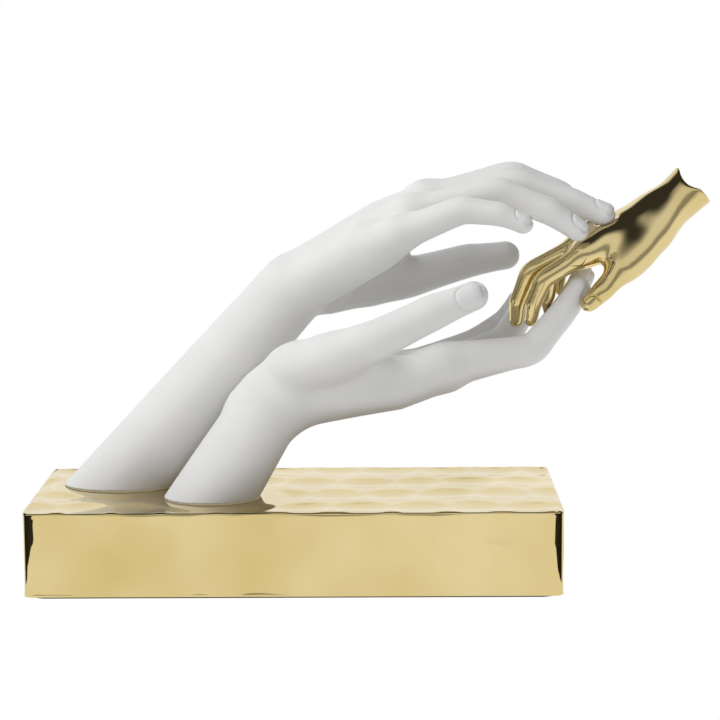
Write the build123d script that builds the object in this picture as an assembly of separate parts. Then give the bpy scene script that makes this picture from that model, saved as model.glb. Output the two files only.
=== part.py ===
"""Ceramic ornament: two white forearms on a hammered gold block, their hands holding a child's gold hand.

Millimetres. Origin at the middle of the felt's underside, +X along the block towards the child's hand,
+Y away from the viewer, +Z up. Every hand is worked out from its bone lengths and joint angles.
"""
from build123d import *
from collections import namedtuple
from math import cos, radians, sin
import os

# Hammered block and the felt under it
BASE_LENGTH = 260.0
BASE_DEPTH = 117.0
BASE_HEIGHT = 41.4
BASE_WALL = 7.0
BASE_CORNER_RADIUS = 8.0
BASE_EDGE_RADIUS = 2.5
DIMPLE_PITCH = 26.0
DIMPLE_DEPTH = 1.1
LAND_DEPTH = 4.0
FELT_THICKNESS = 1.0
FELT_INSET = 3.0

# Arms: where each foot stands on the block, from the block's middle, and the sections on the way up
REAR_FOOT = (-89.0, 15.0)
FRONT_FOOT = (-40.3, -19.0)
FOOT_WIDTH = 40.0
FOOT_THICKNESS = 41.0
FOREARM_WIDTH = 39.0
FOREARM_THICKNESS = 37.0
WRIST_WIDTH = 43.0
WRIST_THICKNESS = 33.0
ARM_WALL = 6.0
BOND_THICKNESS = 0.6
FRONT_WRIST_FORWARD = 32.0
FRONT_WRIST_BACK = 5.0
FRONT_WRIST_RISE = 51.2

# Palm of the adult hands: distances from the wrist, and the section at each
HEEL_REACH = 27.0
HEEL_WIDTH = 58.0
HEEL_THICKNESS = 33.0
MIDPALM_REACH = 54.0
MIDPALM_WIDTH = 71.0
MIDPALM_THICKNESS = 28.0
KNUCKLE_REACH = 77.0
KNUCKLE_WIDTH = 77.0
KNUCKLE_THICKNESS = 22.0
WEB_REACH = 93.0
WEB_WIDTH = 70.0
WEB_THICKNESS = 13.0
PALM_SHIFT = 5.0
KNUCKLE_SLANT = 13.0
PALM_SQUARENESS = 2.5
WRIST_OVERLAP = 11.0
TUCK = 0.7

# Fingers of the adult hands. Knuckle: along the palm, across it to the thumb side, out of the palm.
# Bones: from each joint to the next. Radii: at the knuckle, the two joints and the tip.
Finger = namedtuple("Finger", "knuckle bones radii")
FINGERS = {
    "index": Finger((82, 22, 0), (43, 25, 21), (10.6, 8.2, 7.2, 6.4)),
    "middle": Finger((84, 2, -3), (46, 29, 22), (11.0, 8.4, 7.3, 6.5)),
    "ring": Finger((78, -16, -2), (43, 27, 22), (10.3, 8.0, 6.9, 6.2)),
    "little": Finger((70, -32, 2), (34, 19, 19), (9.2, 7.0, 6.0, 5.3)),
}
THUMB = Finger((14, 18, 10), (42, 32, 27), (14.0, 11.0, 8.8, 7.4))
SHANK_WAIST = 0.3

# Child's hand: the adult hand drawn smaller, with a short forearm cut off by a dished end
CHILD_SCALE = 0.5
CHILD_FULLNESS = 1.2
CHILD_FOREARM = 24.0
CHILD_FOREARM_PITCH = 43.0
CHILD_WRIST_THICKNESS = 18.0
CHILD_CUFF_WIDTH = 24.0
CHILD_CUFF_THICKNESS = 23.0
CHILD_CUFF_DISH = 36.0
DISH_DEPTH = 2.5
GRIP_CLEARANCE = 0.3

# Poses in degrees. Palm: heading, rise and roll. Fingers: splay, then the bend at each of the three joints.
# Thumb: for each bone, its swing to the side and its rise out of the palm.
Pose = namedtuple("Pose", "palm index middle ring little thumb")
REAR_POSE = Pose((-11, 32, 6), (3, 15, 31, 13), (-1, 20, 32, 3), (-2, 17, 35, 14), (-6, 9, 28, 17),
                 ((26, 26), (10, 19), (5, 25)))
FRONT_POSE = Pose((9, 8, 169), (2, 1, 39, 8), (-2, 4, 37, 13), (-6, 6, 46, 24), (-4, 14, 16, 14),
                  ((41, 7), (18, 16), (14, 12)))
CHILD_POSE = Pose((179, -20, -12), (4, 12, 38, 13), (1, 10, 36, 15), (-3, 7, 37, 17), (-8, 8, 40, 18),
                  ((25, 17), (15, 24), (6, 23)))

# How the hands meet. The child's wrist is set from the front forefinger's tip, and the rear hand from
# where its middle fingertip lies on the child's hand: along it, across it and above its middle plane.
CHILD_FROM_FINGERTIP = (36.0, 8.0, 25.5)
TOUCH_ALONG = 21.5
TOUCH_ACROSS = 4.5
TOUCH_ABOVE = 9.6

Hand = namedtuple("Hand", "wrist along across palm joints")
BASE_TOP = FELT_THICKNESS + BASE_HEIGHT
FOOT_LEVEL = BASE_TOP + BOND_THICKNESS


def palm_axes(heading, rise, roll):
    """Unit vectors along the palm, across it to the thumb side, and out of the palm."""
    heading, rise, roll = radians(heading), radians(rise), radians(roll)
    along = Vector(cos(rise) * cos(heading), cos(rise) * sin(heading), sin(rise))
    level = Vector(-sin(heading), cos(heading), 0)
    across = level * cos(roll) + along.cross(level) * sin(roll)
    return along, across, across.cross(along)


def pose_hand(wrist, pose, scale=1.0):
    """Joints of every finger and of the thumb, knuckle first and fingertip last."""
    along, across, palm = palm_axes(*pose.palm)

    def knuckle_of(finger):
        ahead, aside, lift = finger.knuckle
        return wrist + (along * ahead + across * aside + palm * lift) * scale

    joints = {}
    for name, finger in FINGERS.items():
        splay, *bends = (radians(angle) for angle in getattr(pose, name))
        lead = along * cos(splay) + across * sin(splay)
        points = [knuckle_of(finger)]
        bend = 0.0
        for bone, turn in zip(finger.bones, bends):
            bend += turn
            points.append(points[-1] + (lead * cos(bend) + palm * sin(bend)) * (bone * scale))
        joints[name] = points
    points = [knuckle_of(THUMB)]
    for bone, (swing, lift) in zip(THUMB.bones, pose.thumb):
        swing, lift = radians(swing), radians(lift)
        sideways = along * cos(swing) + across * sin(swing)
        points.append(points[-1] + (sideways * cos(lift) + palm * sin(lift)) * (bone * scale))
    joints["thumb"] = points
    return Hand(wrist, along, across, palm, joints)


def section(centre, across, ahead, width, thickness, squareness=2.0):
    """Closed smooth outline square to ahead: an ellipse, or a rounder box where squareness is over 2."""
    ahead = ahead.normalized()
    side = (across - ahead * across.dot(ahead)).normalized()
    rise = ahead.cross(side)
    points = []
    for step in range(12):
        turn = radians(30 * step)
        x, y = (abs(f) ** (2 / squareness) * (1 if f > 0 else -1) for f in (cos(turn), sin(turn)))
        points.append(centre + side * (x * width / 2) + rise * (y * thickness / 2))
    return Wire([Spline(*points, periodic=True)])


def tip_centre(joints, radius):
    """Centre of the round tip that ends at the last joint."""
    return joints[-1] - (joints[-1] - joints[-2]).normalized() * radius


def finger_pieces(joints, radii, grow=0.0):
    """Round joints and tapered shanks of a finger, from its knuckle to its round tip."""
    centres = [*joints[:-1], tip_centre(joints, radii[-1])]
    pieces = [Pos(centres[0]) * Sphere(radii[0] + grow)]
    for start, end, start_radius, end_radius in zip(centres, centres[1:], radii, radii[1:]):
        bone = Plane(origin=(start + end) / 2, z_dir=end - start)
        slim = grow - SHANK_WAIST
        pieces.append(bone * Cone(start_radius + slim, end_radius + slim, (end - start).length))
        pieces.append(Pos(end) * Sphere(end_radius + grow))
    return pieces


def digit(hand, name, scale=1.0, grow=0.0):
    """Pieces of one finger or of the thumb."""
    shape = THUMB if name == "thumb" else FINGERS[name]
    return finger_pieces(hand.joints[name], [radius * scale for radius in shape.radii], grow)


def fuse(pieces):
    """One solid made of pieces that overlap, taken in their order."""
    whole, *others = pieces
    for piece in others:
        whole += piece
    return whole


def digits(hand, scale=1.0):
    """The four fingers and the thumb, each as one solid."""
    return [fuse(digit(hand, name, scale)) for name in (*FINGERS, "thumb")]


def palm_outlines(hand, scale=1.0, fullness=1.0):
    """Outlines of the palm from its heel to the webs between the fingers, thicker where fullness is over 1."""
    slant = radians(KNUCKLE_SLANT)
    slanted = hand.along * cos(slant) - hand.across * sin(slant)
    stations = (
        (HEEL_REACH, 0.4, hand.along, HEEL_WIDTH, HEEL_THICKNESS),
        (MIDPALM_REACH, 0.8, hand.along * 2 + slanted, MIDPALM_WIDTH, MIDPALM_THICKNESS),
        (KNUCKLE_REACH, 1.0, slanted, KNUCKLE_WIDTH, KNUCKLE_THICKNESS),
        (WEB_REACH, 1.0, slanted, WEB_WIDTH, WEB_THICKNESS),
    )
    outlines = []
    for reach, shift, ahead, width, thickness in stations:
        centre = hand.wrist + (hand.along * reach - hand.across * (PALM_SHIFT * shift)) * scale
        outlines.append(section(centre, hand.across, ahead, width * scale, thickness * scale * fullness,
                                PALM_SQUARENESS))
    return outlines


def palm_solid(hand):
    """Palm of an adult hand, lofted from inside the forearm's end to the webs between the fingers."""
    start = hand.wrist - hand.along * WRIST_OVERLAP
    tucked = section(start, hand.across, hand.along, WRIST_WIDTH * TUCK, WRIST_THICKNESS * TUCK)
    wrist = section(hand.wrist, hand.across, hand.along, WRIST_WIDTH, WRIST_THICKNESS)
    return Solid.make_loft([tucked, wrist] + palm_outlines(hand))


def forearm_solid(foot, hand, inset=0.0):
    """Forearm lofted from below the foot's level to the wrist, drawn in by inset."""
    axis = (hand.wrist - foot).normalized()
    stations = [
        (foot - axis * FOOT_THICKNESS / 2, FOOT_WIDTH, FOOT_THICKNESS),
        (foot, FOOT_WIDTH, FOOT_THICKNESS),
        ((foot + hand.wrist) / 2, FOREARM_WIDTH, FOREARM_THICKNESS),
        (hand.wrist - axis * inset, WRIST_WIDTH, WRIST_THICKNESS),
    ]
    if not inset:
        stations.append((hand.wrist + axis * WRIST_OVERLAP, WRIST_WIDTH * TUCK, WRIST_THICKNESS * TUCK))
    return Solid.make_loft([section(centre, hand.across, axis, width - 2 * inset, thickness - 2 * inset)
                            for centre, width, thickness in stations])


def slab(solid, low, high):
    """The part of a solid between two levels."""
    upper = split(solid, Plane.XY.offset(low), keep=Keep.TOP)
    return split(upper, Plane.XY.offset(high), keep=Keep.BOTTOM)


def arm_pieces(foot_place, hand):
    """An arm with its hand, the bond ring under its foot, and the land that the block keeps for it."""
    foot = Vector(*foot_place, BASE_TOP)
    outside = forearm_solid(foot, hand)
    hollow = forearm_solid(foot, hand, ARM_WALL)
    palm = palm_solid(hand)
    fingers = digits(hand)
    # The order of the pieces changes nothing but which seams are worked out first, and some sizes need another
    for order in ((outside, palm, *fingers), (palm, *fingers, outside), (*fingers, palm, outside)):
        arm = split(fuse(order) - hollow, Plane.XY.offset(FOOT_LEVEL), keep=Keep.TOP)
        if arm.is_valid and len(arm.solids()) == 1 and arm.volume > outside.volume - hollow.volume:
            break
    bond = slab(outside, BASE_TOP, FOOT_LEVEL) - hollow
    land = slab(outside, BASE_TOP - LAND_DEPTH, BASE_TOP)
    return arm, bond, land


# The three hands, each placed from the one that it touches
front_wrist = Vector(*FRONT_FOOT, BASE_TOP) + Vector(FRONT_WRIST_FORWARD, FRONT_WRIST_BACK, FRONT_WRIST_RISE)
front_hand = pose_hand(front_wrist, FRONT_POSE)
child = pose_hand(front_hand.joints["index"][-1] + Vector(*CHILD_FROM_FINGERTIP), CHILD_POSE, CHILD_SCALE)
touch = child.wrist + child.along * TOUCH_ALONG + child.across * TOUCH_ACROSS - child.palm * TOUCH_ABOVE
rear_reach = pose_hand(Vector(0, 0, 0), REAR_POSE).joints["middle"][-1]
rear_hand = pose_hand(touch - rear_reach, REAR_POSE)

rear_arm, rear_arm_bond, rear_land = arm_pieces(REAR_FOOT, rear_hand)
front_arm, front_arm_bond, front_land = arm_pieces(FRONT_FOOT, front_hand)

# Child's hand: forearm stub, palm and fingers, with a seat cut for each adult finger that it meets
stub_pitch = radians(CHILD_FOREARM_PITCH)
stub_axis = Vector(-cos(stub_pitch), 0, -sin(stub_pitch))
cuff = child.wrist - stub_axis * CHILD_FOREARM
child_body = Solid.make_loft([
    section(cuff, child.across, stub_axis, CHILD_CUFF_WIDTH, CHILD_CUFF_THICKNESS),
    section(child.wrist, child.across, stub_axis + child.along,
            WRIST_WIDTH * CHILD_SCALE, CHILD_WRIST_THICKNESS),
] + palm_outlines(child, CHILD_SCALE, CHILD_FULLNESS))
child_body = fuse([child_body, *digits(child, CHILD_SCALE)])
child_body -= Pos(cuff - stub_axis * (CHILD_CUFF_DISH - DISH_DEPTH)) * Sphere(CHILD_CUFF_DISH)
child_hand = child_body
for hand in (rear_hand, front_hand):
    for name in ("index", "middle", "ring"):
        for piece in digit(hand, name, grow=GRIP_CLEARANCE):
            child_hand -= piece

# Block: rounded slab, hammered all over, hollow from below, with flat lands left under the feet
outline = RectangleRounded(BASE_LENGTH, BASE_DEPTH, BASE_CORNER_RADIUS)
block = Pos(0, 0, FELT_THICKNESS) * extrude(outline, BASE_HEIGHT)
block = fillet(block.faces().sort_by(Axis.Z)[-1].edges(), BASE_EDGE_RADIUS)
dimple_radius = (DIMPLE_PITCH ** 2 / 4 + DIMPLE_DEPTH ** 2) / (2 * DIMPLE_DEPTH)
columns = round(BASE_LENGTH / DIMPLE_PITCH)
rows = round(BASE_DEPTH / DIMPLE_PITCH)
for row in range(rows):
    for column in range(columns + row % 2):
        x = (column + 0.5 - (row % 2) / 2) * BASE_LENGTH / columns - BASE_LENGTH / 2
        y = (row + 0.5) * BASE_DEPTH / rows - BASE_DEPTH / 2
        block -= Pos(x, y, BASE_TOP + dimple_radius - DIMPLE_DEPTH) * Sphere(dimple_radius)
inside = RectangleRounded(BASE_LENGTH - 2 * BASE_WALL, BASE_DEPTH - 2 * BASE_WALL, BASE_CORNER_RADIUS / 2)
block += [rear_land, front_land]
base_block = block - Pos(0, 0, FELT_THICKNESS) * extrude(inside, BASE_HEIGHT - BASE_WALL)
felt = RectangleRounded(BASE_LENGTH - 2 * FELT_INSET, BASE_DEPTH - 2 * FELT_INSET, BASE_CORNER_RADIUS)
base_felt = extrude(felt, FELT_THICKNESS)

nodes = {
    "base_block": base_block,
    "base_felt": base_felt,
    "rear_arm": rear_arm,
    "front_arm": front_arm,
    "child_hand": child_hand,
    "rear_arm_bond": rear_arm_bond,
    "front_arm_bond": front_arm_bond,
}
os.makedirs("parts", exist_ok=True)
for name, solid in nodes.items():
    export_step(solid, f"parts/{name}.step")
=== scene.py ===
import math
import bpy
import bmesh
import numpy as np
from mathutils import Matrix, Vector


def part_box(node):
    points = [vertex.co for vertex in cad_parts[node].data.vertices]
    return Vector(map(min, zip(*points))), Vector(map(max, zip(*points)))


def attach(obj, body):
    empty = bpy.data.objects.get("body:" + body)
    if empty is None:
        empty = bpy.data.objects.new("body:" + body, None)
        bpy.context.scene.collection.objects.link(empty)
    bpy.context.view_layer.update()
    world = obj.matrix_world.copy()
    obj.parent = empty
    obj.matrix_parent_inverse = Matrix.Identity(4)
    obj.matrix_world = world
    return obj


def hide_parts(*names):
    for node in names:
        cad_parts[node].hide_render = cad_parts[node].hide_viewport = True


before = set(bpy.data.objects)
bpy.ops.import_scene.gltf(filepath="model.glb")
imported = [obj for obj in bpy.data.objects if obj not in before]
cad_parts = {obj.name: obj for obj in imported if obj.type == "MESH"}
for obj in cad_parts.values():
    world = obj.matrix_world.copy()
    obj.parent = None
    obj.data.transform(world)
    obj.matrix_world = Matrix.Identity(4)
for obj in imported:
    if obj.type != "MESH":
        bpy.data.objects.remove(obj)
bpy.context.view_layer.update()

# Felt under the block: charcoal wool felt, 1 mm thick, cut a little smaller than the block.
# It is glued to the block's underside and is what the ornament rests on.
MM = 0.001
FELT_SIZE = (254.0, 111.0)
FELT_THICKNESS = 1.0
FELT_CORNER = 8.0


def linear(code):
    """Linear colour of an sRGB hex code, with alpha 1."""
    parts = [int(code[i:i + 2], 16) / 255 for i in (1, 3, 5)]
    return [p / 12.92 if p <= 0.04045 else ((p + 0.055) / 1.055) ** 2.4 for p in parts] + [1.0]


def add_node(tree, kind, values=None, **settings):
    """New node with its settings, and each named input set to a value or joined to an output."""
    node = tree.nodes.new(kind)
    for key, value in settings.items():
        setattr(node, key, value)
    for key, value in (values or {}).items():
        socket = node.inputs[key]
        if isinstance(value, bpy.types.NodeSocket):
            tree.links.new(value, socket)
        else:
            socket.default_value = value
    return node


def new_material(name):
    """Empty procedural material: its node tree, its coordinates in metres and its shader."""
    material = bpy.data.materials.new(name)
    material.use_nodes = True
    tree = material.node_tree
    tree.nodes.clear()
    place = add_node(tree, "ShaderNodeTexCoord").outputs["Object"]
    shader = add_node(tree, "ShaderNodeBsdfPrincipled")
    add_node(tree, "ShaderNodeOutputMaterial", {"Surface": shader.outputs["BSDF"]})
    return material, tree, place, shader


def new_piece(name, vertices, faces, material, node, smooth=True):
    """Mesh piece in the shared frame from points in millimetres, riding on the one body."""
    mesh = bpy.data.meshes.new(name)
    mesh.from_pydata((np.asarray(vertices, float) * MM).tolist(), [], [list(f) for f in faces])
    mesh.materials.append(material)
    mesh.polygons.foreach_set("use_smooth", [smooth] * len(mesh.polygons))
    mesh.update()
    piece = bpy.data.objects.new(name, mesh)
    bpy.context.collection.objects.link(piece)
    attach(piece, "root")
    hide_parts(node)
    return piece


def rounded_outline(length, depth, corner, steps=8):
    """Points of a rectangle with round corners, in order round it."""
    points = []
    for turn, (sx, sy) in enumerate(((1, 1), (-1, 1), (-1, -1), (1, -1))):
        for step in range(steps + 1):
            angle = math.radians(90 * (turn + step / steps))
            points.append((sx * (length / 2 - corner) + corner * math.cos(angle),
                           sy * (depth / 2 - corner) + corner * math.sin(angle)))
    return points


# Felt: dull charcoal wool with short fibres that break up its edge
felt_finish, tree, place, shader = new_material("charcoal_wool_felt")
fibres = add_node(tree, "ShaderNodeTexNoise", {"Vector": place, "Scale": 900.0, "Detail": 3.0})
tone = add_node(tree, "ShaderNodeValToRGB", {"Fac": fibres.outputs["Fac"]})
tone.color_ramp.elements[0].color = linear("#1B1A18")
tone.color_ramp.elements[1].color = linear("#3A3733")
tree.links.new(tone.outputs["Color"], shader.inputs["Base Color"])
shader.inputs["Roughness"].default_value = 0.95
nap = add_node(tree, "ShaderNodeBump", {"Height": fibres.outputs["Fac"], "Strength": 0.6, "Distance": 0.0004})
tree.links.new(nap.outputs["Normal"], shader.inputs["Normal"])

outline = rounded_outline(*FELT_SIZE, FELT_CORNER)
count = len(outline)
felt_points = [(x, y, z) for z in (0.0, FELT_THICKNESS) for x, y in outline]
felt_faces = [list(range(count))[::-1], list(range(count, 2 * count))]
felt_faces += [(i, (i + 1) % count, count + (i + 1) % count, count + i) for i in range(count)]
felt = new_piece("base_felt_sheet", felt_points, felt_faces, felt_finish, "base_felt", smooth=False)

# Block: slip-cast rounded block with a hammered surface, fired with gold lustre.
# One dense cube, rounded and beaten by Geometry Nodes; the felt is glued under it.
BLOCK_SIZE = (260.0, 117.0, 41.4)
BLOCK_BOTTOM = 1.0
BLOCK_CORNER = 5.0
TOP_EDGE = 1.2
LOW_EDGE = 0.7
BLOCK_CELL = 1.1
DIMPLE_PITCH = (27.0, 31.0)
DIMPLE_DEPTH = 1.3
DIMPLE_DRIFT = 5.0
SIDE_SHARE = 0.16
SWELL = 1.2
SIDE_ROW = 21.0
BLOCK_TOP = BLOCK_BOTTOM + BLOCK_SIZE[2]
REAR_FOOT = (-89.0, 15.0)
FRONT_FOOT = (-40.3, -19.0)
LAND_RADIUS = 31.0
LAND_FADE = 8.0

# Gold lustre: pale warm mirror, with the faint waves of a brushed-on film
gold_finish, tree, place, shader = new_material("gold_lustre_glaze")
shader.inputs["Metallic"].default_value = 1.0
film = add_node(tree, "ShaderNodeTexNoise", {"Vector": place, "Scale": 16.0, "Detail": 2.0, "Roughness": 0.5})
tint = add_node(tree, "ShaderNodeValToRGB", {"Fac": film.outputs["Fac"]})
tint.color_ramp.elements[0].position = 0.3
tint.color_ramp.elements[0].color = linear("#D2BC7C")
tint.color_ramp.elements[1].position = 0.7
tint.color_ramp.elements[1].color = linear("#E1CE99")
tree.links.new(tint.outputs["Color"], shader.inputs["Base Color"])
gloss = add_node(tree, "ShaderNodeMapRange", {"Value": film.outputs["Fac"], "To Min": 0.03, "To Max": 0.08})
tree.links.new(gloss.outputs["Result"], shader.inputs["Roughness"])
peel = add_node(tree, "ShaderNodeTexNoise", {"Vector": place, "Scale": 120.0, "Detail": 1.0})
ripple = add_node(tree, "ShaderNodeBump",
                  {"Height": peel.outputs["Fac"], "Strength": 0.05, "Distance": 0.0006})
tree.links.new(ripple.outputs["Normal"], shader.inputs["Normal"])


def math_node(tree, operation, *values):
    """Output of one math node on numbers or sockets."""
    node = add_node(tree, "ShaderNodeMath", dict(enumerate(values)), operation=operation)
    return node.outputs[0]


def vector_node(tree, operation, first, second=None, scale=None):
    """Vector math node on one vector, two vectors, or a vector and a scale."""
    values = {0: first}
    if second is not None:
        values[1] = second
    if scale is not None:
        values["Scale"] = scale
    return add_node(tree, "ShaderNodeVectorMath", values, operation=operation)


def foot_fade(tree, position, foot):
    """0 under an arm's foot and 1 away from it."""
    away = vector_node(tree, "SUBTRACT", position, (foot[0] * MM, foot[1] * MM, BLOCK_TOP * MM))
    length = vector_node(tree, "LENGTH", away.outputs["Vector"]).outputs["Value"]
    near, far = LAND_RADIUS * MM, (LAND_RADIUS + LAND_FADE) * MM
    fade = add_node(tree, "ShaderNodeMapRange", {"Value": length, "From Min": near, "From Max": far},
                    interpolation_type="SMOOTHSTEP")
    return fade.outputs["Result"]


beaten = bpy.data.node_groups.new("beaten_block", "GeometryNodeTree")
beaten.interface.new_socket("Geometry", in_out="OUTPUT", socket_type="NodeSocketGeometry")
named_inputs = {}
for label in ("Dimple width", "Dimple row", "Dimple depth", "Side share"):
    socket = beaten.interface.new_socket(label, in_out="INPUT", socket_type="NodeSocketFloat")
    named_inputs[label] = socket.identifier
given = beaten.nodes.new("NodeGroupInput").outputs


def beat(operation, *values):
    """Math node of the block's tree."""
    return math_node(beaten, operation, *values)


def rounded_pair(first, second, first_core, second_core):
    """Two coordinates with the square corner outside their core values turned into a round one."""
    over = [beat("MAXIMUM", beat("SUBTRACT", beat("ABSOLUTE", v), c), 0.0)
            for v, c in ((first, first_core), (second, second_core))]
    length = beat("SQRT", beat("ADD", beat("MULTIPLY", over[0], over[0]), beat("MULTIPLY", over[1], over[1])))
    share = beat("DIVIDE", beat("MAXIMUM", *over), beat("MAXIMUM", length, 1e-9))
    result = []
    for value, core, extra in ((first, first_core, over[0]), (second, second_core, over[1])):
        kept = beat("ADD", beat("MINIMUM", beat("ABSOLUTE", value), core), beat("MULTIPLY", extra, share))
        result.append(beat("MULTIPLY", beat("SIGN", value), kept))
    return result


half = [size / 2 * MM for size in BLOCK_SIZE]
middle = (BLOCK_BOTTOM + BLOCK_SIZE[2] / 2) * MM
cube = add_node(beaten, "GeometryNodeMeshCube", {
    "Size": [size * MM for size in BLOCK_SIZE],
    "Vertices X": int(BLOCK_SIZE[0] / BLOCK_CELL), "Vertices Y": int(BLOCK_SIZE[1] / BLOCK_CELL),
    "Vertices Z": int(BLOCK_SIZE[2] / BLOCK_CELL)})
raw = add_node(beaten, "ShaderNodeSeparateXYZ",
               {"Vector": add_node(beaten, "GeometryNodeInputPosition").outputs["Position"]}).outputs
corner_core = [h - BLOCK_CORNER * MM for h in half]
round_x, round_y = rounded_pair(raw["X"], raw["Y"], corner_core[0], corner_core[1])
out_x, out_y = (beat("MAXIMUM", beat("SUBTRACT", beat("ABSOLUTE", v), c), 0.0)
                for v, c in ((raw["X"], corner_core[0]), (raw["Y"], corner_core[1])))
reach = beat("MAXIMUM", out_x, out_y)
above = beat("GREATER_THAN", raw["Z"], 0.0)
edge = beat("ADD", beat("MULTIPLY", above, (TOP_EDGE - LOW_EDGE) * MM), LOW_EDGE * MM)
edge_reach, round_z = rounded_pair(reach, raw["Z"], beat("SUBTRACT", BLOCK_CORNER * MM, edge),
                                   beat("SUBTRACT", half[2], edge))
draw_in = beat("DIVIDE", edge_reach, beat("MAXIMUM", reach, 1e-9))
drawn = []
for value, whole, core in ((round_x, raw["X"], corner_core[0]), (round_y, raw["Y"], corner_core[1])):
    inner = beat("MINIMUM", beat("ABSOLUTE", value), core)
    outer = beat("MULTIPLY", beat("SUBTRACT", beat("ABSOLUTE", value), inner), draw_in)
    drawn.append(beat("MULTIPLY", beat("SIGN", whole), beat("ADD", inner, outer)))
at_place = add_node(beaten, "ShaderNodeCombineXYZ",
                    {"X": drawn[0], "Y": drawn[1], "Z": beat("ADD", round_z, middle)}).outputs["Vector"]
rounded = add_node(beaten, "GeometryNodeSetPosition",
                   {"Geometry": cube.outputs["Mesh"], "Position": at_place}).outputs["Geometry"]

# Hammer blows lie in staggered rows that wander a little, on each face in its own plane
spot = add_node(beaten, "GeometryNodeInputPosition").outputs["Position"]
normal = add_node(beaten, "GeometryNodeInputNormal").outputs["Normal"]
wander = add_node(beaten, "ShaderNodeTexNoise", {"Vector": spot, "Scale": 28.0, "Detail": 0.0})
wander = vector_node(beaten, "SUBTRACT", wander.outputs["Color"], (0.5, 0.5, 0.5)).outputs["Vector"]
drift = vector_node(beaten, "SCALE", wander, scale=DIMPLE_DRIFT * 2 * MM).outputs["Vector"]
struck = add_node(beaten, "ShaderNodeSeparateXYZ",
                  {"Vector": vector_node(beaten, "ADD", spot, drift).outputs["Vector"]}).outputs
facing = add_node(beaten, "ShaderNodeSeparateXYZ", {"Vector": normal}).outputs
end_share, top_share = beat("ABSOLUTE", facing["X"]), beat("ABSOLUTE", facing["Z"])


def blend_pair(first, second, share):
    """First where share is 0, second where it is 1."""
    return beat("ADD", first, beat("MULTIPLY", beat("SUBTRACT", second, first), share))


face_u = blend_pair(struck["X"], struck["Y"], end_share)
face_v = blend_pair(beat("MULTIPLY", struck["Z"], DIMPLE_PITCH[1] / SIDE_ROW), struck["Y"], top_share)


def row_distance(shift):
    """Squared distance, in dimple widths, to one of the two sets of blows that make the staggered rows."""
    parts = []
    two_rows = beat("MULTIPLY", given["Dimple row"], 2.0)
    for value, pitch in ((face_u, given["Dimple width"]), (face_v, two_rows)):
        turn = beat("ADD", beat("DIVIDE", value, pitch), shift)
        gap = beat("SUBTRACT", beat("FRACT", turn), 0.5)
        parts.append(beat("DIVIDE", beat("MULTIPLY", gap, pitch), given["Dimple width"]))
    return beat("ADD", beat("MULTIPLY", parts[0], parts[0]), beat("MULTIPLY", parts[1], parts[1]))


nearest = beat("SMOOTH_MIN", row_distance(0.25), row_distance(0.75), 0.06)
bowl = beat("MINIMUM", beat("SUBTRACT", beat("MULTIPLY", nearest, 3.8), 1.0), 0.0)
share = add_node(beaten, "ShaderNodeMapRange",
                 {"Value": facing["Z"], "From Min": 0.2, "From Max": 0.8, "To Min": given["Side share"],
                  "To Max": 1.0}).outputs["Result"]
not_below = add_node(beaten, "ShaderNodeMapRange",
                     {"Value": facing["Z"], "From Min": -0.6, "From Max": -0.1}).outputs["Result"]
squarely = beat("MAXIMUM", beat("MAXIMUM", end_share, top_share), beat("ABSOLUTE", facing["Y"]))
flatly = add_node(beaten, "ShaderNodeMapRange",
                  {"Value": squarely, "From Min": 0.8, "From Max": 0.99}).outputs["Result"]
strength = beat("MULTIPLY", beat("MULTIPLY", share, not_below), given["Dimple depth"])
strength = beat("MULTIPLY", strength, flatly)
for foot in (REAR_FOOT, FRONT_FOOT):
    strength = beat("MULTIPLY", strength, foot_fade(beaten, spot, foot))
swell = add_node(beaten, "ShaderNodeTexNoise", {"Vector": spot, "Scale": 22.0, "Detail": 1.0}).outputs["Fac"]
swell = beat("MULTIPLY", beat("MULTIPLY", beat("SUBTRACT", swell, 0.75), flatly), SWELL * MM)
swell = beat("MULTIPLY", beat("MULTIPLY", swell, not_below), beat("SUBTRACT", 1.0, top_share))
depth = beat("ADD", beat("MULTIPLY", bowl, strength), swell)
push = vector_node(beaten, "SCALE", normal, scale=depth).outputs["Vector"]
dented = add_node(beaten, "GeometryNodeSetPosition", {"Geometry": rounded, "Offset": push})
shaded = add_node(beaten, "GeometryNodeSetShadeSmooth",
                  {"Geometry": dented.outputs["Geometry"]}).outputs["Geometry"]
real = add_node(beaten, "GeometryNodeRealizeInstances", {"Geometry": shaded}).outputs["Geometry"]
glazed = add_node(beaten, "GeometryNodeSetMaterial", {"Geometry": real, "Material": gold_finish})
add_node(beaten, "NodeGroupOutput", {"Geometry": glazed.outputs["Geometry"]})

carrier = bpy.data.objects.new("block_maker", bpy.data.meshes.new("block_maker"))
bpy.context.collection.objects.link(carrier)
maker = carrier.modifiers.new("beaten_block", "NODES")
maker.node_group = beaten
maker[named_inputs["Dimple width"]] = DIMPLE_PITCH[0] * MM
maker[named_inputs["Dimple row"]] = DIMPLE_PITCH[1] * MM
maker[named_inputs["Dimple depth"]] = DIMPLE_DEPTH * MM
maker[named_inputs["Side share"]] = SIDE_SHARE
ready = carrier.evaluated_get(bpy.context.evaluated_depsgraph_get())
block_mesh = bpy.data.meshes.new_from_object(ready)
carrier.modifiers.remove(maker)
bpy.data.objects.remove(carrier)
block = bpy.data.objects.new("hammered_block", block_mesh)
bpy.context.collection.objects.link(block)
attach(block, "root")
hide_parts("base_block")

# Front arm: forearm and lower hand, palm up, cast in one piece in matte white bisque.
# Modelled as a smooth field of bones and flesh and skinned; epoxy holds its foot to the block.
FOOT_LEVEL = BLOCK_TOP + 0.6
FRONT_WRIST = np.array((FRONT_FOOT[0] + 32.0, FRONT_FOOT[1] + 5.0, FOOT_LEVEL - 0.6 + 51.2))
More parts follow.
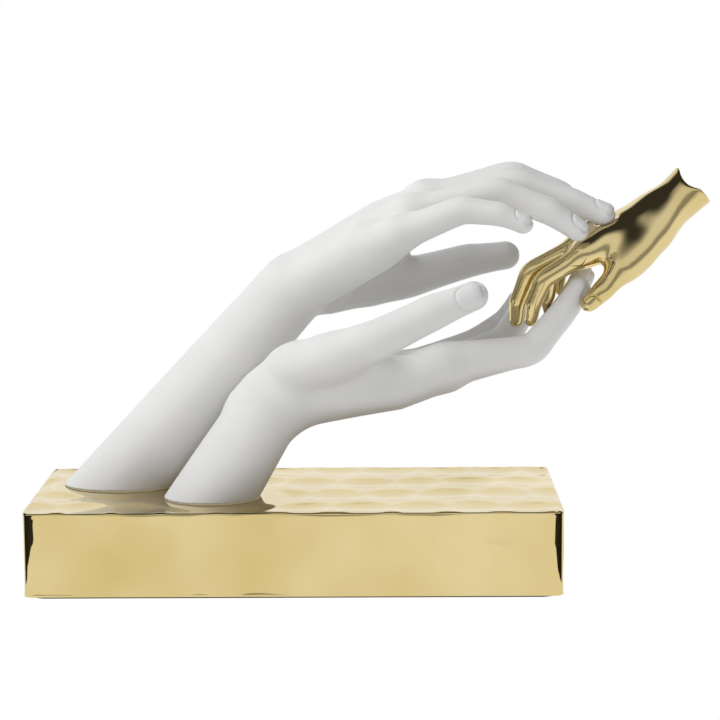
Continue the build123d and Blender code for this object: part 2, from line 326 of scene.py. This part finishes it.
# Each digit: its knuckle (along, across, out of the palm), its bones, and its radii at the joints
DIGITS = {
    "index": ((82, 22, 0), (43, 25, 21), (9.0, 7.7, 6.7, 5.7)),
    "middle": ((84, 2, -3), (46, 29, 22), (9.3, 7.8, 6.8, 5.7)),
    "ring": ((78, -16, -2), (43, 27, 22), (9.0, 7.7, 6.7, 5.5)),
    "little": ((70, -32, 2), (34, 19, 16.5), (8.6, 6.9, 5.9, 4.9)),
    "thumb": ((14, 18, 10), (42, 32, 27), (14.0, 10.0, 8.7, 7.0)),
}
SHANK_WAIST = 0.3
# Palm: each hand bone as points with radii, then the pads, all in the same local millimetres
HAND_BONES = (
    ((8, 9, -3, 11.0), (56, 17, -4, 10.0), (82, 22, 0, 8.8)),
    ((8, 2, -5, 11.5), (58, 2, -5, 10.4), (84, 2, -2, 9.0)),
    ((8, -5, -4, 11.5), (54, -12, -5, 10.2), (78, -16, -2, 8.6)),
    ((8, -11, -2, 10.5), (50, -24, -2, 9.4), (70, -32, 2, 8.0)),
)
PADS = (
    ((16, -13, 4, 10.0), (54, -27, 5, 8.6)),
    ((73, 17, 2, 6.5), (63, -25, 5, 6.4)),
    ((20, 8, 6, 11.0), (44, 14, 6, 8.5)),
)
# Web of the thumb: share of the way down its first bone, where it meets the palm, and both radii
WEBS = ((0.88, (62, 18, 0), 6.5, 7.0), (0.5, (46, 15, 1), 9.5, 9.0))
# Pose in degrees: palm (heading, rise, roll), fingers (splay, three bends), thumb (three swings and lifts).
# Reach and girth scale a digit's bones and radii, and web the thumb's webs; back sinks the hand bones,
# melt widens the fillets, and fill is the radius of the flesh at the thumb's root.
FRONT_POSE = {
    "palm": (9, 8, 169), "index": (2, -1.5, 41.5, 8), "middle": (-2, 4, 37, 13), "ring": (-6, 12, 36, 2),
    "little": (-4, 11, 14, 22), "thumb": ((41, 7), (18, 16), (14, 12)), "back": 3.2, "web": 0.64,
    "fill": 12.3, "index reach": 0.975, "little reach": 1.08,
    "index girth": (1.12, 1.0, 1.0, 1.0), "thumb girth": (0.9, 1.0, 1.0, 1.0),
}


def unit(vector):
    """The vector at length 1."""
    return vector / np.linalg.norm(vector)


def pose_hand(wrist, pose, scale=1.0):
    """A hand's wrist, its three axes as rows, its scale, and the joints of its digits."""
    heading, rise, roll = np.radians(pose["palm"])
    along = np.array((math.cos(rise) * math.cos(heading), math.cos(rise) * math.sin(heading), math.sin(rise)))
    level = np.array((-math.sin(heading), math.cos(heading), 0.0))
    across = level * math.cos(roll) + np.cross(along, level) * math.sin(roll)
    palm = np.cross(across, along)
    axes = np.array((along, across, palm))
    joints, sizes = {}, {}
    for name, (knuckle, bones, radii) in DIGITS.items():
        share = pose.get(name + " girth", (1, 1, 1, 1))
        sizes[name] = [r * s for r, s in zip(radii, share)]
        points = [wrist + scale * np.array(knuckle, float) @ axes]
        if name == "thumb":
            turns = np.radians(pose[name])
            ways = [(along * math.cos(s) + across * math.sin(s)) * math.cos(t) + palm * math.sin(t)
                    for s, t in turns]
        else:
            splay, *bends = np.radians(pose[name])
            lead = along * math.cos(splay) + across * math.sin(splay)
            ways = [lead * math.cos(b) + palm * math.sin(b) for b in np.cumsum(bends)]
        for way, bone in zip(ways, bones):
            points.append(points[-1] + way * bone * scale * pose.get(name + " reach", 1.0))
        joints[name] = points
    return {"wrist": wrist, "axes": axes, "scale": scale, "joints": joints, "radii": sizes,
            "back": pose.get("back", 0.0), "melt": pose.get("melt", 1.0), "web": pose.get("web", 1.0),
            "arm girth": pose.get("arm girth", 1.0), "fill": pose.get("fill", 0.0)}


def melt(first, second, soft):
    """Union of two fields with a fillet about as wide as soft."""
    share = np.clip(0.5 + 0.5 * (second - first) / soft, 0, 1)
    return second + (first - second) * share - soft * share * (1 - share)


def carve(body, tool, soft):
    """The body without the tool, with an edge softened by about soft."""
    return -melt(-body, tool, soft)


def shank(points, start, end, start_radius, end_radius):
    """Distance to a tapered rod with round ends."""
    start = np.asarray(start, float)
    line = np.asarray(end, float) - start
    away = points - start
    share = np.clip(away @ line / (line @ line), 0, 1)
    away = away - share[:, None] * line
    return np.sqrt(np.einsum("ij,ij->i", away, away)) - (start_radius + (end_radius - start_radius) * share)


def centreline(joints, radii, scale):
    """Points and radii down the middle of a digit, with its bends rounded."""
    last = joints[-1] - unit(joints[-1] - joints[-2]) * radii[-1] * scale
    ends = [*joints[:-1], last]
    stations = []
    for start, end, r0, r1 in zip(ends, ends[1:], radii, radii[1:]):
        for share in (0.0, 0.3, 0.7):
            waist = SHANK_WAIST if share else 0.0
            stations.append((*(start + (end - start) * share), (r0 + (r1 - r0) * share - waist) * scale))
    stations.append((*last, radii[-1] * scale))
    stations = np.array(stations)
    for _ in range(2):
        near = stations[:-1] * 0.75 + stations[1:] * 0.25
        far = stations[:-1] * 0.25 + stations[1:] * 0.75
        between = np.stack((near, far), 1).reshape(-1, 4)
        stations = np.vstack((stations[:1], between, stations[-1:]))
    return stations


FAR = 60.0


def digit_field(points, line, margin=8.0):
    """Distance to a digit; points far from it just get a large value."""
    result = np.full(len(points), FAR)
    run = 6
    for start in range(0, len(line) - 1, run):
        part = line[start:start + run + 1]
        reach = part[:, 3].max() + margin
        inside = (points > part[:, :3].min(0) - reach) & (points < part[:, :3].max(0) + reach)
        near = np.flatnonzero(inside.all(1))
        if len(near):
            some, best = points[near], result[near]
            for a, b in zip(part, part[1:]):
                best = np.minimum(best, shank(some, a[:3], b[:3], a[3], b[3]))
            result[near] = best
    return result


BACK_SHARES = (0.6, 1.0, 0.8)
PALM_MELT = 6.0
PAD_MELT = 8.0
ROOT_MELT = 6.0
DIGIT_MELT = 1.2


def hand_field(hand, fullness=1.0):
    """Field of a hand: its palm, then its digits melted on."""
    scale = hand["scale"]
    lines = {n: centreline(hand["joints"][n], hand["radii"][n], scale) for n in DIGITS}
    flat = np.array((1, 1, 1 / fullness))
    back, soft = hand["back"], hand["melt"]
    base, joint = ((p - hand["wrist"]) @ hand["axes"].T / scale for p in hand["joints"]["thumb"][:2])
    webs = [((*(base + (joint - base) * share * hand["web"]), r0), (*goal, r1 * hand["web"]))
            for share, goal, r0, r1 in WEBS]

    def field(points):
        local = (points - hand["wrist"]) @ hand["axes"].T / scale * flat
        palm = np.full(len(points), FAR)
        for bone in HAND_BONES:
            bone = [(a, b, c - share * back, r) for (a, b, c, r), share in zip(bone, BACK_SHARES)]
            rod = np.minimum.reduce([shank(local, a[:3], b[:3], a[3], b[3]) for a, b in zip(bone, bone[1:])])
            palm = melt(palm, rod, PALM_MELT * soft)
        for a, b in (*PADS, *webs):
            palm = melt(palm, shank(local, a[:3], b[:3], a[3], b[3]), PAD_MELT * soft)
        palm *= scale
        digits = np.full(len(points), FAR)
        for line in lines.values():
            digits = melt(digits, digit_field(points, line), DIGIT_MELT * scale)
        return melt(palm, digits, ROOT_MELT * scale * soft)

    return field


# Forearm: its bones' radii and how far they stand apart, at the foot and at the wrist
ARM_GIRTHS = (19.6, 16.4)
BONE_PART = (1.0, 6.0)
ARM_BELOW_FOOT = 30
ARM_BEFORE_WRIST = 5
ARM_MELT = 7.0
# Flesh that runs on to the thumb's root, given in the hand's local millimetres
THUMB_ROOT = (5.0, 10.4, 8.3)
FILL_BACK = 14
FILL_LIFT = 4
FILL_RADIUS = 15.2
FILL_MELT = 4.0


def forearm_field(foot, hand):
    """Field of a forearm: two bones side by side that part towards the wrist."""
    base = np.array((foot[0], foot[1], FOOT_LEVEL))
    axis = unit(hand["wrist"] - base)
    across = hand["axes"][1]
    side = unit(across - axis * (across @ axis))
    low, high = base - axis * ARM_BELOW_FOOT, hand["wrist"] - axis * ARM_BEFORE_WRIST
    apart = [side * part for part in BONE_PART]
    palm = hand["axes"][2]
    lift = unit(palm - axis * (palm @ axis))
    fill_start = hand["wrist"] - axis * FILL_BACK + lift * FILL_LIFT
    heel = hand["wrist"] + np.array(THUMB_ROOT) @ hand["axes"]
    girths = [girth * hand["arm girth"] for girth in ARM_GIRTHS]

    def field(points):
        radius = shank(points, low + apart[0], high + apart[1], *girths)
        ulna = shank(points, low - apart[0], high - apart[1], *girths)
        arm = melt(radius, ulna, ARM_MELT)
        if hand["fill"]:
            arm = melt(arm, shank(points, fill_start, heel, FILL_RADIUS, hand["fill"]), FILL_MELT)
        return arm

    return field


def skin(field, low, high, cell, block=4):
    """Quads on the zero level of a field: one vertex in each grid cell that it crosses."""
    blocks = np.ceil((high - low) / cell / block).astype(int)
    counts = blocks * block
    step = cell * block
    grid = np.stack(np.meshgrid(*[np.arange(n) for n in blocks], indexing="ij"), -1).reshape(-1, 3)
    centre = field(low + (grid + 0.5 - 0.5 / block) * step)
    values = np.repeat(np.repeat(np.repeat(centre.reshape(blocks), block, 0), block, 1), block, 2)
    near = grid[np.abs(centre) < step * 1.25]
    inside_block = np.stack(np.meshgrid(*[np.arange(block)] * 3, indexing="ij"), -1).reshape(-1, 3)
    for start in range(0, len(near), 2000):
        cells = (near[start:start + 2000, None] * block + inside_block).reshape(-1, 3)
        values[tuple(cells.T)] = field(low + cells * cell)
    inner = values < 0
    corners = np.array([(i, j, k) for i in (0, 1) for j in (0, 1) for k in (0, 1)])
    filled = sum(inner[i:counts[0] - 1 + i, j:counts[1] - 1 + j, k:counts[2] - 1 + k].astype(np.int8)
                 for i, j, k in corners)
    crossed = (filled > 0) & (filled < 8)
    index = np.full(crossed.shape, -1)
    index[crossed] = np.arange(crossed.sum())
    cells = np.argwhere(crossed)
    total, number = np.zeros(cells.shape), np.zeros(len(cells))
    for a in corners:
        for axis in np.flatnonzero(a == 0):
            b = a + np.eye(3, dtype=int)[axis]
            first, second = values[tuple((cells + a).T)], values[tuple((cells + b).T)]
            meets = (first < 0) != (second < 0)
            share = first[meets] / (first[meets] - second[meets])
            total[meets] += a + (b - a) * share[:, None]
            number[meets] += 1
    vertices = low + (cells + total / number[:, None]) * cell
    quads = []
    for axis in range(3):
        order = (axis, (axis + 1) % 3, (axis + 2) % 3)
        first = np.moveaxis(inner, order, (0, 1, 2))
        table = np.moveaxis(index, order, (0, 1, 2))
        i, j, k = (np.argwhere(first[:-1, 1:-1, 1:-1] != first[1:, 1:-1, 1:-1]) + (0, 1, 1)).T
        ring = np.stack((table[i, j - 1, k - 1], table[i, j, k - 1], table[i, j, k], table[i, j - 1, k]), 1)
        flip = ~first[i, j, k]
        ring[flip] = ring[flip][:, ::-1]
        quads.append(ring)
    return vertices, np.vstack(quads)


def settle(field, points, rounds=1, step=0.04):
    """Points moved onto the zero level."""
    for _ in range(rounds):
        value = field(points)
        slope = np.stack([field(points + shift) - value for shift in np.eye(3) * step], 1) / step
        square = np.maximum(np.einsum("ij,ij->i", slope, slope), 0.2)
        points = points - np.clip(slope * (value / square)[:, None], -1.0, 1.0)
    return points


def relax(points, quads, rounds, share=0.5):
    """Points drawn towards the middle of their neighbours."""
    edges = np.vstack([quads[:, (a, (a + 1) % 4)] for a in range(4)])
    number = np.bincount(edges[:, 0], minlength=len(points)).astype(float)
    for _ in range(rounds):
        total = np.stack([np.bincount(edges[:, 0], points[edges[:, 1], c], len(points)) for c in range(3)], 1)
        back = np.stack([np.bincount(edges[:, 1], points[edges[:, 0], c], len(points)) for c in range(3)], 1)
        mean = (total + back) / (2 * number)[:, None]
        points = points + (mean - points) * share
    return points


def nail_frame(hand, digit):
    """Place and axes of a digit's nail: forward, sideways and up from the nail."""
    joints = hand["joints"][digit]
    forward = unit(joints[3] - joints[2])
    along, across, palm = hand["axes"]
    if digit == "thumb":
        up = across
    else:
        up = np.cross(unit(np.cross(forward, palm)), forward)
        if up @ palm > 0:
            up = -up
    up = unit(up - forward * (up @ forward))
    side = np.cross(up, forward)
    radius = hand["radii"][digit][3] * hand["scale"]
    centre = joints[3] - forward * radius * NAIL_BACK + up * radius * NAIL_UP
    return centre, forward, side, up, radius


# A nail's place and half sizes are shares of its fingertip's radius
NAIL_BACK = 1.18
NAIL_UP = 0.85
NAIL_LENGTH = 0.92
NAIL_WIDTH = 0.82
NAIL_RISE = 0.35
NAIL_GROOVE = 0.75


def nail_relief(points, nail):
    """Height of a nail plate and of the groove round it."""
    centre, forward, side, up, radius = nail
    away = points - centre
    x, y, z = away @ forward, away @ side, away @ up
    size = radius / 6.5
    ahead = np.abs(x) / (NAIL_LENGTH * radius)
    aside = np.abs(y) / (NAIL_WIDTH * radius)
    edge = ((ahead ** 3 + aside ** 3) ** (1 / 3) - 1) * NAIL_WIDTH * radius
    plate = NAIL_RISE * size / (1 + np.exp(np.clip(edge / (0.18 * size), -30, 30)))
    groove = NAIL_GROOVE * size * np.exp(-(edge / (0.5 * size)) ** 2)
    return np.where(z > -radius * 0.9, plate - groove, 0.0)


def light_polish(points, quads):
    """The skin smoothed once all over."""
    return relax(points, quads, 1)


def sculpt(name, field, low, high, cell, nails, material, node,
           level=None, polish=light_polish, lift=False):
    """Piece skinned from a field, polished, refined round its nails and cut flat at any given level."""
    points, quads = skin(field, np.asarray(low, float), np.asarray(high, float), cell)
    for _ in range(2):
        points = settle(field, relax(points, quads, 2))
    points = polish(points, quads)
    piece = new_piece(name, points, quads, material, node)
    form = bmesh.new()
    form.from_mesh(piece.data)

    def nailed(spots):
        value = field(spots)
        return value - sum(nail_relief(spots, nail) for nail in nails)

    for nail in nails:
        centre = Vector(nail[0] * MM)
        reach = nail[4] * 1.5 * MM
        edges = [e for e in form.edges if all((v.co - centre).length < reach for v in e.verts)]
        bmesh.ops.subdivide_edges(form, edges=edges, cuts=2, use_grid_fill=True, smooth=float(lift))
    if nails:
        form.verts.ensure_lookup_table()
        spots = np.array([v.co for v in form.verts]) / MM
        near = np.zeros(len(spots), bool)
        for nail in nails:
            near |= np.linalg.norm(spots - nail[0], axis=1) < nail[4] * 1.65
        chosen = np.flatnonzero(near)
        if not lift:
            moved = settle(nailed, settle(field, spots[chosen], 2), 2)
        else:
            form.normal_update()
            normals = np.array([form.verts[n].normal for n in chosen])
            moved = spots[chosen]
            moved = moved + normals * sum(nail_relief(moved, nail) for nail in nails)[:, None]
        for number, spot in zip(chosen, moved):
            form.verts[number].co = Vector(spot * MM)
    if level is not None:
        whole = form.verts[:] + form.edges[:] + form.faces[:]
        cut = bmesh.ops.bisect_plane(form, geom=whole, plane_co=(0, 0, level * MM), plane_no=(0, 0, 1),
                                     clear_inner=True)
        rim = [e for e in cut["geom_cut"] if isinstance(e, bmesh.types.BMEdge)]
        filled = bmesh.ops.contextual_create(form, geom=rim)
        for face in filled["faces"]:
            face.smooth = False
    bmesh.ops.recalc_face_normals(form, faces=form.faces)
    form.to_mesh(piece.data)
    form.free()
    piece.data.update()
    return piece


# White bisque: dead-matt, faintly cool white with a fine tooth and barely uneven tone
bisque_finish, tree, place, shader = new_material("white_bisque_porcelain")
clouds = add_node(tree, "ShaderNodeTexNoise", {"Vector": place, "Scale": 30.0, "Detail": 5.0})
tone = add_node(tree, "ShaderNodeValToRGB", {"Fac": clouds.outputs["Fac"]})
tone.color_ramp.elements[0].position = 0.3
tone.color_ramp.elements[0].color = linear("#DCDCDB")
tone.color_ramp.elements[1].position = 0.7
tone.color_ramp.elements[1].color = linear("#E4E3E2")
tree.links.new(tone.outputs["Color"], shader.inputs["Base Color"])
shader.inputs["Roughness"].default_value = 0.58
tooth = add_node(tree, "ShaderNodeTexNoise", {"Vector": place, "Scale": 1400.0, "Detail": 2.0})
grain = add_node(tree, "ShaderNodeBump",
                 {"Height": tooth.outputs["Fac"], "Strength": 0.15, "Distance": 0.0002})
tree.links.new(grain.outputs["Normal"], shader.inputs["Normal"])

ARM_CELL = 1.0
WRIST_MELT = 10.0


def arm_field(foot, hand):
    """Field of a whole arm."""
    palm, forearm = hand_field(hand), forearm_field(foot, hand)
    return lambda points: melt(palm(points), forearm(points), WRIST_MELT)


front_hand = pose_hand(FRONT_WRIST, FRONT_POSE)
front_field = arm_field(FRONT_FOOT, front_hand)
front_low, front_high = (np.array(c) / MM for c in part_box("front_arm"))
front_nails = [nail_frame(front_hand, d) for d in DIGITS]
front_arm = sculpt("front_arm_body", front_field, front_low - 8, front_high + 8, ARM_CELL, front_nails,
                   bisque_finish, "front_arm", FOOT_LEVEL)

# Rear arm: forearm and upper hand, palm down, cast in one piece in the same white bisque.
# Made as the front arm is; its middle fingertip lies on the back of the child's hand.
REAR_POSE = {
    "palm": (-11, 32, 6), "index": (3, 15, 38, 13), "middle": (-1, 21.5, 29, 3), "ring": (-2, 17, 35, 14),
    "little": (-8, 9, 28, 17), "thumb": ((26, 26), (10, 17), (5, 24)), "back": 0.8,
    "thumb girth": (0.95, 1.07, 1.01, 1.03), "arm girth": 1.04,
}
CHILD_POSE = {
    "palm": (179, -20, -12), "index": (4, 11, 38, 13), "middle": (1, 7, 43, 18), "ring": (-3, 26, 44, 8),
    "little": (-8, 25, 40, 10), "thumb": ((25, 17), (15, 24), (6, 23)), "melt": 2.2,
    "index reach": 1.1, "middle reach": 1.19, "ring reach": 1.1, "little reach": 1.1,
    "thumb girth": (1.0, 1.24, 1.25, 1.27), "index girth": (1.22, 1.25, 1.26, 1.25),
    "middle girth": (1.22, 1.25, 1.26, 1.25), "ring girth": (1.22, 1.2, 1.16, 1.18),
    "little girth": (1.22, 1.2, 1.16, 1.18),
}
CHILD_SCALE = 0.5
CHILD_FROM_FINGERTIP = (37.8, 8.0, 28.3)
TOUCH = (21.5, 4.5, -9.6)
ARM_GAP = 0.4
child = pose_hand(front_hand["joints"]["index"][3] + np.array(CHILD_FROM_FINGERTIP), CHILD_POSE, CHILD_SCALE)
touch_point = child["wrist"] + np.array(TOUCH) @ child["axes"]
rear_reach = pose_hand(np.zeros(3), REAR_POSE)["joints"]["middle"][3]
rear_hand = pose_hand(touch_point - rear_reach, REAR_POSE)
rear_whole = arm_field(REAR_FOOT, rear_hand)


def rear_field(points):
    """The rear arm, kept clear of the front one where they pass."""
    return carve(rear_whole(points), front_field(points) - ARM_GAP, 1.0)


rear_low, rear_high = (np.array(c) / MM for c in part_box("rear_arm"))
rear_nails = [nail_frame(rear_hand, d) for d in DIGITS]
rear_arm = sculpt("rear_arm_body", rear_field, rear_low - 8, rear_high + 8, ARM_CELL, rear_nails,
                  bisque_finish, "rear_arm", FOOT_LEVEL)

# Child's hand: small solid casting with a dished, cut-off wrist, fired with the block's gold lustre.
# Skinned from a field too, with a seat where each adult finger meets it.
CHILD_FULLNESS = 1.15
CHILD_STUB = 24.0
STUB_SHIFT = 1.5
CHILD_STUB_PITCH = 43.0
CUFF_DISH = 36.0
DISH_DEPTH = 2.5
SCOOP_RADIUS = 9.0
SEAT_GAP = 0.25
CHILD_CELL = 0.5
CHILD_POLISH = 30
CUFF_CRISP = 3
FINGER_GAP = 0.15
# The stub's rods run past the cuff, which the dish and the scoop then cut
STUB_BEYOND = 6
STUB_RADII = (11.0, 9.6)
STUB_PART = (0.8, 3)
HEEL_RADIUS = 10.2
HEEL_SLIMMER = 3.4
STUB_MELT = 4.0
STUB_PALM_MELT = 10.0
SCOOP_RISE = 4.5
SCOOP_BITE = 3.4
stub_pitch = math.radians(CHILD_STUB_PITCH)
stub_axis = np.array((-math.cos(stub_pitch), 0.0, -math.sin(stub_pitch)))
stub_rise = np.array((stub_axis[2], 0.0, -stub_axis[0]))
stub_foot = child["wrist"] + stub_rise * STUB_SHIFT
cuff = stub_foot - stub_axis * CHILD_STUB
dish_centre = cuff - stub_axis * (CUFF_DISH - DISH_DEPTH)
scoop_centre = cuff + stub_rise * SCOOP_RISE - stub_axis * (SCOOP_RADIUS - SCOOP_BITE)
stub_side = unit(child["axes"][1] - stub_axis * (child["axes"][1] @ stub_axis))
child_palm = hand_field(child, CHILD_FULLNESS)
child_heel = child["radii"]["thumb"][1] * CHILD_SCALE - HEEL_SLIMMER


def adult_field(points):
    """Both arms, which the child's hand keeps clear of."""
    return np.minimum(front_field(points), rear_whole(points))


def child_field(points):
    """The child's hand and wrist, dished at the cut and seated on the adult fingers."""
    beyond = cuff - stub_axis * STUB_BEYOND
    apart = [stub_side * part for part in STUB_PART]
    body = melt(shank(points, beyond + apart[0], stub_foot + apart[1], *STUB_RADII),
                shank(points, beyond - apart[0], stub_foot - apart[1], *STUB_RADII), STUB_MELT)
    heel = shank(points, beyond, child["joints"]["thumb"][1], HEEL_RADIUS, child_heel)
    body = melt(melt(body, heel, STUB_MELT), child_palm(points), STUB_PALM_MELT)
    dish = np.linalg.norm(points - dish_centre, axis=1) - CUFF_DISH
    scoop = np.hypot(points[:, 0] - scoop_centre[0], points[:, 2] - scoop_centre[2]) - SCOOP_RADIUS
    body = carve(body, melt(dish, scoop, 1.0), 0.8)
    return carve(body, adult_field(points) - SEAT_GAP, 1.6)


def child_polish(points, quads):
    """The skin smoothed away from its crisp cuff, then moved clear of the adult fingers."""
    crisp = np.clip((points - cuff) @ stub_axis / CUFF_CRISP - 0.6, 0, 1)[:, None]
    points = relax(points, quads, CHILD_POLISH, 0.5 * crisp)
    for _ in range(2):
        tight = np.flatnonzero(adult_field(points) < FINGER_GAP)
        points[tight] = settle(lambda p: adult_field(p) - FINGER_GAP, points[tight], 2)
        points = relax(points, quads, 2, 0.3)
    return points


child_low, child_high = (np.array(c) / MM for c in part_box("child_hand"))
child_nails = [nail_frame(child, "thumb")]
sculpt("child_hand_body", child_field, child_low - 6, child_high + 6, CHILD_CELL, child_nails,
       gold_finish, "child_hand", polish=child_polish, lift=True)

# Epoxy rings: thin lines of pale, glossy glue between the arms' feet and the block.
# Each follows the outline of its arm's foot, just inside it, and fills the gap to the block's top.
BOND_INSET = 0.2
BOND_WIDTH = 5.0
# Epoxy: pale cream and glossy
epoxy_finish, tree, place, shader = new_material("pale_epoxy")
shader.inputs["Base Color"].default_value = linear("#E4DCC8")
shader.inputs["Roughness"].default_value = 0.3


def bond_ring(name, arm, node):
    """Flat ring under an arm's foot."""
    spots = np.array([v.co for v in arm.data.vertices]) / MM
    rim = spots[np.abs(spots[:, 2] - FOOT_LEVEL) < 0.01][:, :2]
    away = rim - rim.mean(0)
    away = away[np.argsort(np.arctan2(away[:, 1], away[:, 0]))]
    length = np.linalg.norm(away, axis=1)[:, None]
    rows = []
    inner = BOND_INSET + BOND_WIDTH
    for inset, height in ((BOND_INSET, BLOCK_TOP), (BOND_INSET, FOOT_LEVEL), (inner, FOOT_LEVEL),
                          (inner, BLOCK_TOP)):
        flat = rim.mean(0) + away * (1 - inset / length)
        rows.append(np.column_stack((flat, np.full(len(flat), height))))
    count = len(away)
    faces = [(row * count + i, row * count + (i + 1) % count, (row + 1) % 4 * count + (i + 1) % count,
              (row + 1) % 4 * count + i) for row in range(4) for i in range(count)]
    return new_piece(name, np.vstack(rows), faces, epoxy_finish, node, smooth=False)


bond_ring("front_arm_glue", front_arm, "front_arm_bond")
bond_ring("rear_arm_glue", rear_arm, "rear_arm_bond")

# Room: a white sweep that glows, dimming further out in front as painted shade, and a bright front, with dark
# sides and a dark ceiling for the gold to mirror.
# One soft lamp that the gold doesn't mirror lights the white pieces; the camera stands in front.
CAMERA_PLACE = (0.041633, -1.126079, 0.265696)
CAMERA_PITCH = 8.0
CAMERA_YAW = 0.487
CAMERA_ROLL = -0.33
CAMERA_LENS = 114.2
FLAG_GAP = 0.03
FLAG_DEPTH = (-0.26, -0.055)
FLAG_HEIGHT = 0.05

floor_mesh = bpy.data.meshes.new("floor")
floor_mesh.from_pydata([(-4, -4, 0), (4, -4, 0), (4, 4, 0), (-4, 4, 0)], [], [(0, 1, 2, 3)])
floor_finish = bpy.data.materials.new("glowing_white_sweep")
floor_finish.use_nodes = True
tree = floor_finish.node_tree
tree.nodes.clear()
ground = add_node(tree, "ShaderNodeTexCoord").outputs["Object"]
lie = add_node(tree, "ShaderNodeSeparateXYZ", {"Vector": ground})
# Painted shade on the glowing floor: full white near the block, dimming to about a third further out in
# front, for the gold's dents to mirror
painted_floor_fade = add_node(tree, "ShaderNodeMapRange", {"Value": lie.outputs["Y"], "From Min": -0.8, "From Max": -0.26,
                                             "To Min": 0.35, "To Max": 1.0})
sheet = add_node(tree, "ShaderNodeEmission", {"Color": (1, 1, 1, 1), "Strength": painted_floor_fade.outputs["Result"]})
add_node(tree, "ShaderNodeOutputMaterial", {"Surface": sheet.outputs["Emission"]})
floor_mesh.materials.append(floor_finish)
floor = bpy.data.objects.new("floor", floor_mesh)
bpy.context.collection.objects.link(floor)

# Black flags beside the block, which only its gold mirrors: they draw the dark lines down its ends
flag_finish, tree, place, shader = new_material("black_flag")
shader.inputs["Base Color"].default_value = linear("#0E0D0A")
shader.inputs["Roughness"].default_value = 1.0
for side in (-1, 1):
    flag_x = side * (BLOCK_SIZE[0] / 2 * MM + FLAG_GAP)
    near, far = FLAG_DEPTH
    flag_mesh = bpy.data.meshes.new("flag")
    flag_mesh.from_pydata([(flag_x, near, 0), (flag_x, far, 0), (flag_x, far, FLAG_HEIGHT),
                           (flag_x, near, FLAG_HEIGHT)], [], [(0, 1, 2, 3)])
    flag_mesh.materials.append(flag_finish)
    flag = bpy.data.objects.new("flag", flag_mesh)
    bpy.context.collection.objects.link(flag)
    flag.visible_camera = False
    flag.visible_diffuse = False
    flag.visible_shadow = False

world = bpy.data.worlds.new("studio")
bpy.context.scene.world = world
world.use_nodes = True
tree = world.node_tree
tree.nodes.clear()
way = add_node(tree, "ShaderNodeTexCoord").outputs["Generated"]
parts = add_node(tree, "ShaderNodeSeparateXYZ", {"Vector": way})


def band(value, low, high):
    """0 below low, 1 above high, smooth between."""
    return add_node(tree, "ShaderNodeMapRange", {"Value": value, "From Min": low, "From Max": high},
                    interpolation_type="SMOOTHSTEP").outputs["Result"]


behind = math_node(tree, "MULTIPLY", band(parts.outputs["Y"], 0.35, 0.5),
                   math_node(tree, "SUBTRACT", 1.0, band(parts.outputs["Z"], 0.48, 0.66)))
front = math_node(tree, "MULTIPLY", band(math_node(tree, "MULTIPLY", parts.outputs["Y"], -1.0), 0.2, 0.4),
                  math_node(tree, "SUBTRACT", 1.0, band(parts.outputs["Z"], 0.5, 0.85)))
rising = math_node(tree, "ADD", math_node(tree, "MULTIPLY", band(parts.outputs["Z"], 0.0, 0.22), 0.5), 0.33)
bright = math_node(tree, "MAXIMUM", behind, math_node(tree, "MULTIPLY", front, rising))
level = math_node(tree, "ADD", math_node(tree, "MULTIPLY", bright, 0.96), 0.04)
surround = add_node(tree, "ShaderNodeBackground", {"Color": (1, 1, 1, 1), "Strength": level})
add_node(tree, "ShaderNodeOutputWorld", {"Surface": surround.outputs["Background"]})


def add_lamp(name, place, target, size, watts):
    """Soft square lamp aimed at a point, in metres, which mirrors don't show."""
    lamp = bpy.data.lights.new(name, "AREA")
    lamp.size = size
    lamp.energy = watts
    holder = bpy.data.objects.new(name, lamp)
    holder.location = place
    holder.rotation_euler = (Vector(target) - Vector(place)).to_track_quat("-Z", "Y").to_euler()
    holder.visible_glossy = False
    holder.visible_camera = False
    bpy.context.collection.objects.link(holder)


add_lamp("top_softbox", (-0.6, -0.2, 1.15), (0, 0, 0.12), 1.0, 13.5)

camera_data = bpy.data.cameras.new("camera")
camera_data.lens = CAMERA_LENS
camera_data.sensor_width = 36.0
camera = bpy.data.objects.new("camera", camera_data)
camera.matrix_world = (Matrix.Translation(CAMERA_PLACE)
                       @ Matrix.Rotation(math.radians(CAMERA_YAW), 4, "Z")
                       @ Matrix.Rotation(math.radians(90 - CAMERA_PITCH), 4, "X")
                       @ Matrix.Rotation(math.radians(CAMERA_ROLL), 4, "Z"))
bpy.context.collection.objects.link(camera)
bpy.context.scene.camera = camera
bpy.context.scene.view_settings.view_transform = "Standard"
